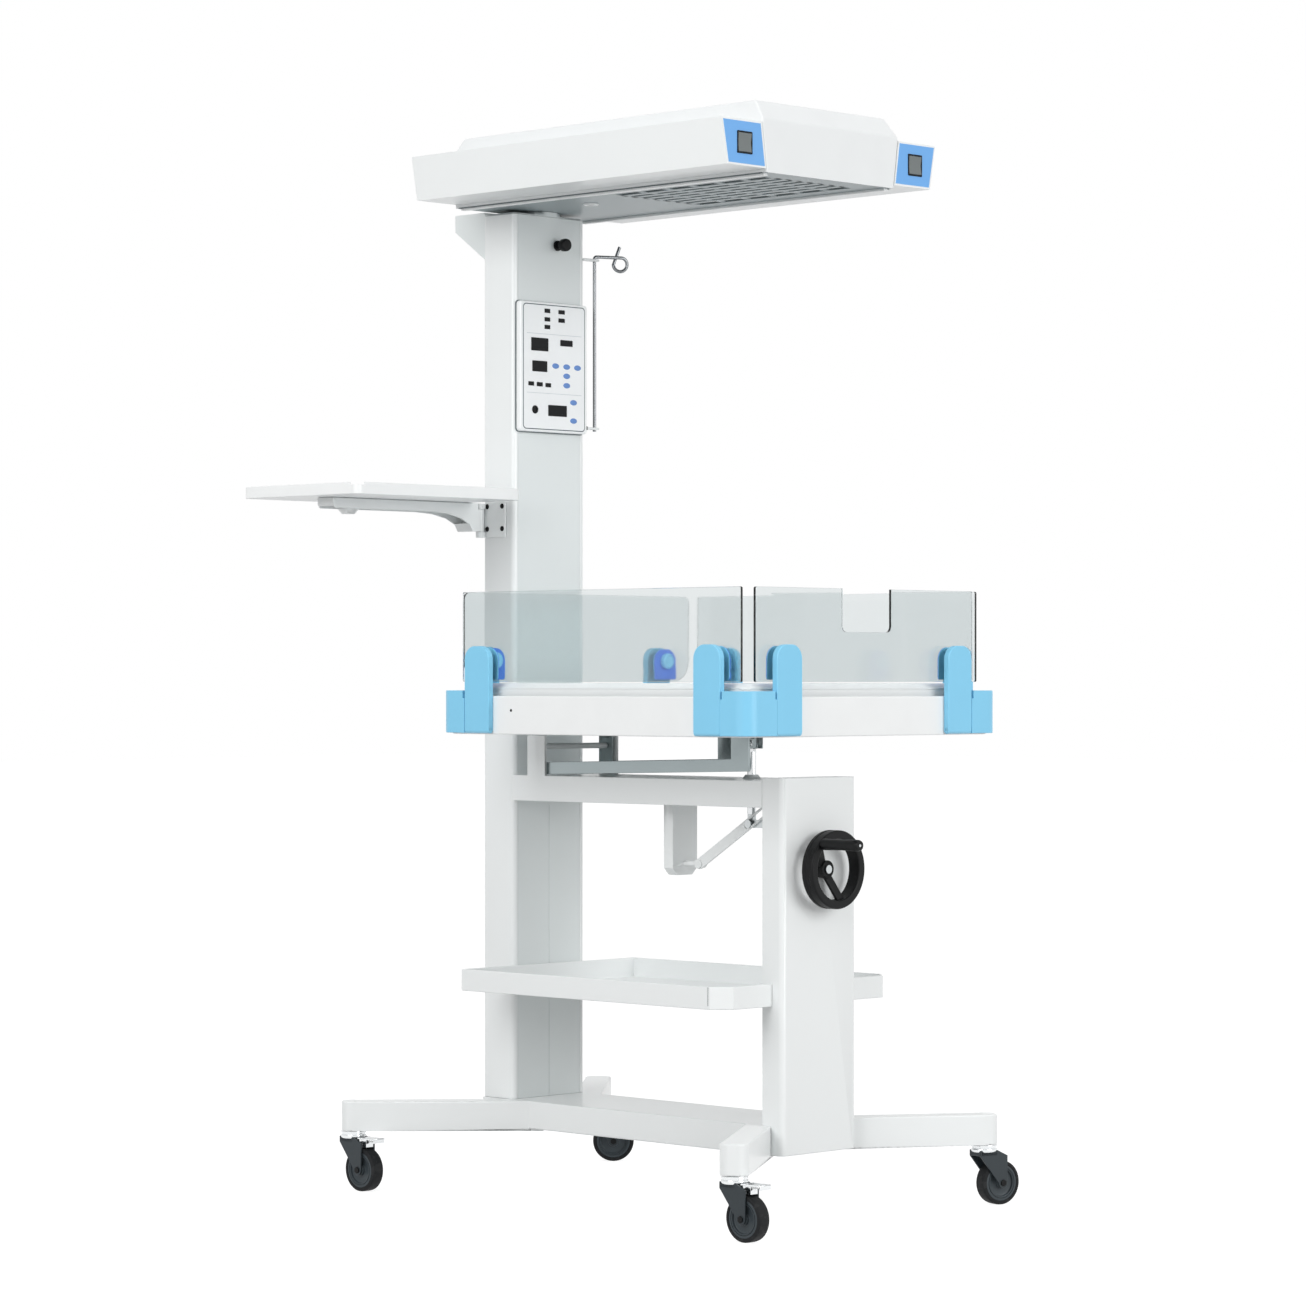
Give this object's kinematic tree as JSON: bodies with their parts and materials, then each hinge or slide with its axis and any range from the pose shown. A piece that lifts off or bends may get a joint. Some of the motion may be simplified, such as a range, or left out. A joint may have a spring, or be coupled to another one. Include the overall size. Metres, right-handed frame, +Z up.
{
  "type": "infant radiant warmer",
  "caption": "Wheeled infant radiant warmer with a tilting cot bed, fold-down clear sides, a swivelling overhead heater, a side tray and a drip hook.",
  "frame": {"origin": "centre of the footprint of the bounding box, on the floor", "axes": "+X to the right seen from the handwheel end, +Y from the handwheel end to the column, +Z up"},
  "size_m": [0.8666, 1.0346, 1.8145],
  "materials": {
    "white_enamel": "gloss powder coat",
    "grey_enamel": "satin powder coat",
    "white_shell": "gloss",
    "blue_plastic": "satin",
    "black_plastic": "satin",
    "dark_plastic": "satin",
    "steel": "brushed",
    "chrome": "polished",
    "aluminium": "satin",
    "wheel_rubber": "matte",
    "clear_acrylic": "clear",
    "foam": "matte cover",
    "circuit_board": "matte"
  },
  "bodies": {
    "stand": {"base_frame": "white_enamel", "front_post": "white_enamel", "cross_beam": "white_enamel", "column": "white_enamel", "column_front_cover": "aluminium", "control_panel": "white_shell", "controller_board": "circuit_board", "storage_shelf": "white_shell", "tray_bracket": "white_enamel", "swivel_neck": "grey_enamel"},
    "caster_front_left": {"caster_fork_front_left": "steel"},
    "caster_front_right": {"caster_fork_front_right": "steel"},
    "caster_rear_left": {"caster_fork_rear_left": "steel"},
    "caster_rear_right": {"caster_fork_rear_right": "steel"},
    "wheel_front_left": {"caster_wheel_front_left": "wheel_rubber"},
    "wheel_front_right": {"caster_wheel_front_right": "wheel_rubber"},
    "wheel_rear_left": {"caster_wheel_rear_left": "wheel_rubber"},
    "wheel_rear_right": {"caster_wheel_rear_right": "wheel_rubber"},
    "pedal_front_left": {"brake_pedal_front_left": "chrome"},
    "pedal_rear_left": {"brake_pedal_rear_left": "chrome"},
    "hand_drive": {"handwheel": "black_plastic", "handwheel_shaft": "steel"},
    "grip": {"handwheel_grip": "black_plastic"},
    "screw": {"lead_screw": "steel"},
    "lift": {"lift_nut": "steel", "push_rod": "chrome"},
    "link": {"tilt_link": "grey_enamel"},
    "bed": {"tilt_frame": "steel", "bed_tray": "white_shell", "mattress": "foam", "bed_corner_front_left": "blue_plastic", "bed_corner_front_right": "blue_plastic", "bed_corner_rear_left": "blue_plastic", "bed_corner_rear_right": "blue_plastic"},
    "side_front": {"panel_front": "clear_acrylic", "panel_arm_front_left": "blue_plastic", "panel_arm_front_right": "blue_plastic"},
    "side_rear": {"panel_rear": "clear_acrylic", "panel_arm_rear_left": "blue_plastic", "panel_arm_rear_right": "blue_plastic"},
    "side_left": {"panel_left": "clear_acrylic", "panel_arm_left_front": "blue_plastic", "panel_arm_left_rear": "blue_plastic"},
    "side_right": {"panel_right": "clear_acrylic", "panel_arm_right_front": "blue_plastic", "panel_arm_right_rear": "blue_plastic"},
    "heater": {"heater_hood": "white_shell", "heater_rail_left": "white_shell", "heater_rail_right": "white_shell", "rail_end_cap_left": "blue_plastic", "rail_end_cap_right": "blue_plastic", "heater_grille": "aluminium", "reflector": "aluminium", "heating_element": "steel"},
    "switch_left": {"rocker_switch_left": "dark_plastic"},
    "switch_right": {"rocker_switch_right": "dark_plastic"},
    "lock_knob": {"swivel_lock_knob": "black_plastic"},
    "tray": {"tray_arm": "white_enamel", "side_tray": "white_shell"},
    "hook": {"drip_hook": "chrome"}
  },
  "joints": [
    {"name": "caster_swivel_front_left", "type": "hinge", "parent": "stand", "child": "caster_front_left", "pos_m": [-0.24025, -0.45075, 0.103], "axis": [0, 0, 1], "continuous": true},
    {"name": "caster_swivel_front_right", "type": "hinge", "parent": "stand", "child": "caster_front_right", "pos_m": [0.36775, -0.45075, 0.103], "axis": [0, 0, 1], "continuous": true},
    {"name": "caster_swivel_rear_left", "type": "hinge", "parent": "stand", "child": "caster_rear_left", "pos_m": [-0.23325, 0.46025, 0.103], "axis": [0, 0, 1], "continuous": true},
    {"name": "caster_swivel_rear_right", "type": "hinge", "parent": "stand", "child": "caster_rear_right", "pos_m": [0.36075, 0.46025, 0.103], "axis": [0, 0, 1], "continuous": true},
    {"name": "wheel_spin_front_left", "type": "hinge", "parent": "caster_front_left", "child": "wheel_front_left", "pos_m": [-0.24025, -0.47875, 0.03726], "axis": [1, 0, 0], "continuous": true},
    {"name": "wheel_spin_front_right", "type": "hinge", "parent": "caster_front_right", "child": "wheel_front_right", "pos_m": [0.39492, -0.45752, 0.03726], "axis": [0.2419, 0.9703, 0], "continuous": true},
    {"name": "wheel_spin_rear_left", "type": "hinge", "parent": "caster_rear_left", "child": "wheel_rear_left", "pos_m": [-0.23325, 0.43225, 0.03726], "axis": [1, 0, 0], "continuous": true},
    {"name": "wheel_spin_rear_right", "type": "hinge", "parent": "caster_rear_right", "child": "wheel_rear_right", "pos_m": [0.38055, 0.44045, 0.03726], "axis": [0.7071, 0.7071, 0], "continuous": true},
    {"name": "brake_pedal_front_left", "type": "hinge", "parent": "caster_front_left", "child": "pedal_front_left", "pos_m": [-0.24025, -0.47875, 0.0885], "axis": [1, 0, 0], "range_deg": [0, 12]},
    {"name": "brake_pedal_rear_left", "type": "hinge", "parent": "caster_rear_left", "child": "pedal_rear_left", "pos_m": [-0.23325, 0.43225, 0.0885], "axis": [1, 0, 0], "range_deg": [0, 12]},
    {"name": "bed_tilt", "type": "hinge", "parent": "stand", "child": "bed", "pos_m": [0.06375, 0.22225, 0.765], "axis": [-1, 0, 0], "range_deg": [-1.5, 8]},
    {"name": "bed_lift", "type": "slide", "parent": "stand", "child": "lift", "axis": [0, 0, 1], "range_m": [-0.0112, 0.0592]},
    {"name": "link_swing", "type": "hinge", "parent": "stand", "child": "link", "pos_m": [0.06375, -0.08875, 0.57], "axis": [-1, 0, 0], "range_deg": [-3.4, 17.7]},
    {"name": "screw_spin", "type": "hinge", "parent": "stand", "child": "screw", "pos_m": [0.06375, -0.33275, 0.57], "axis": [0, 0, 1], "range_deg": [-200, 1065]},
    {"name": "handwheel_turn", "type": "hinge", "parent": "stand", "child": "hand_drive", "pos_m": [0.06375, -0.38525, 0.57], "axis": [0, 1, 0], "range_deg": [-200, 1065]},
    {"name": "grip_spin", "type": "hinge", "parent": "hand_drive", "child": "grip", "pos_m": [0.02527, -0.39775, 0.61273], "axis": [0, 1, 0], "continuous": true},
    {"name": "front_side_fold", "type": "hinge", "parent": "bed", "child": "side_front", "pos_m": [0.06375, -0.47475, 0.796], "axis": [1, 0, 0], "range_deg": [0, 175]},
    {"name": "rear_side_lean", "type": "hinge", "parent": "bed", "child": "side_rear", "pos_m": [0.06375, 0.22355, 0.796], "axis": [-1, 0, 0], "range_deg": [0, 6]},
    {"name": "left_side_fold", "type": "hinge", "parent": "bed", "child": "side_left", "pos_m": [-0.23975, -0.01275, 0.796], "axis": [0, -1, 0], "range_deg": [0, 175]},
    {"name": "right_side_fold", "type": "hinge", "parent": "bed", "child": "side_right", "pos_m": [0.36725, -0.01275, 0.796], "axis": [0, 1, 0], "range_deg": [0, 175]},
    {"name": "heater_swivel", "type": "hinge", "parent": "stand", "child": "heater", "pos_m": [0.06375, 0.32025, 1.6875], "axis": [0, 0, 1], "range_deg": [-90, 90]},
    {"name": "left_switch", "type": "hinge", "parent": "heater", "child": "switch_left", "pos_m": [-0.14356, -0.37935, 1.7385], "axis": [1, 0, 0], "range_deg": [-7, 7]},
    {"name": "right_switch", "type": "hinge", "parent": "heater", "child": "switch_right", "pos_m": [0.27106, -0.37935, 1.7385], "axis": [1, 0, 0], "range_deg": [-7, 7]},
    {"name": "lock_knob_turn", "type": "hinge", "parent": "stand", "child": "lock_knob", "pos_m": [0.08275, 0.28195, 1.639], "axis": [0, -1, 0], "range_deg": [0, 360]},
    {"name": "tray_swing", "type": "hinge", "parent": "stand", "child": "tray", "pos_m": [-0.03475, 0.35325, 1.127], "axis": [0, 0, 1], "range_deg": [-90, 25]},
    {"name": "hook_swivel", "type": "hinge", "parent": "stand", "child": "hook", "pos_m": [0.17925, 0.28625, 1.318], "axis": [0, 0, 1], "range_deg": [-60, 100]}
  ],
  "couplings": [
    {"joint": "bed_lift", "follows": "bed_tilt", "m_per_rad": 0.4234},
    {"joint": "link_swing", "follows": "bed_tilt", "ratio": 2.2},
    {"joint": "screw_spin", "follows": "bed_tilt", "ratio": 133},
    {"joint": "handwheel_turn", "follows": "bed_tilt", "ratio": 133}
  ]
}
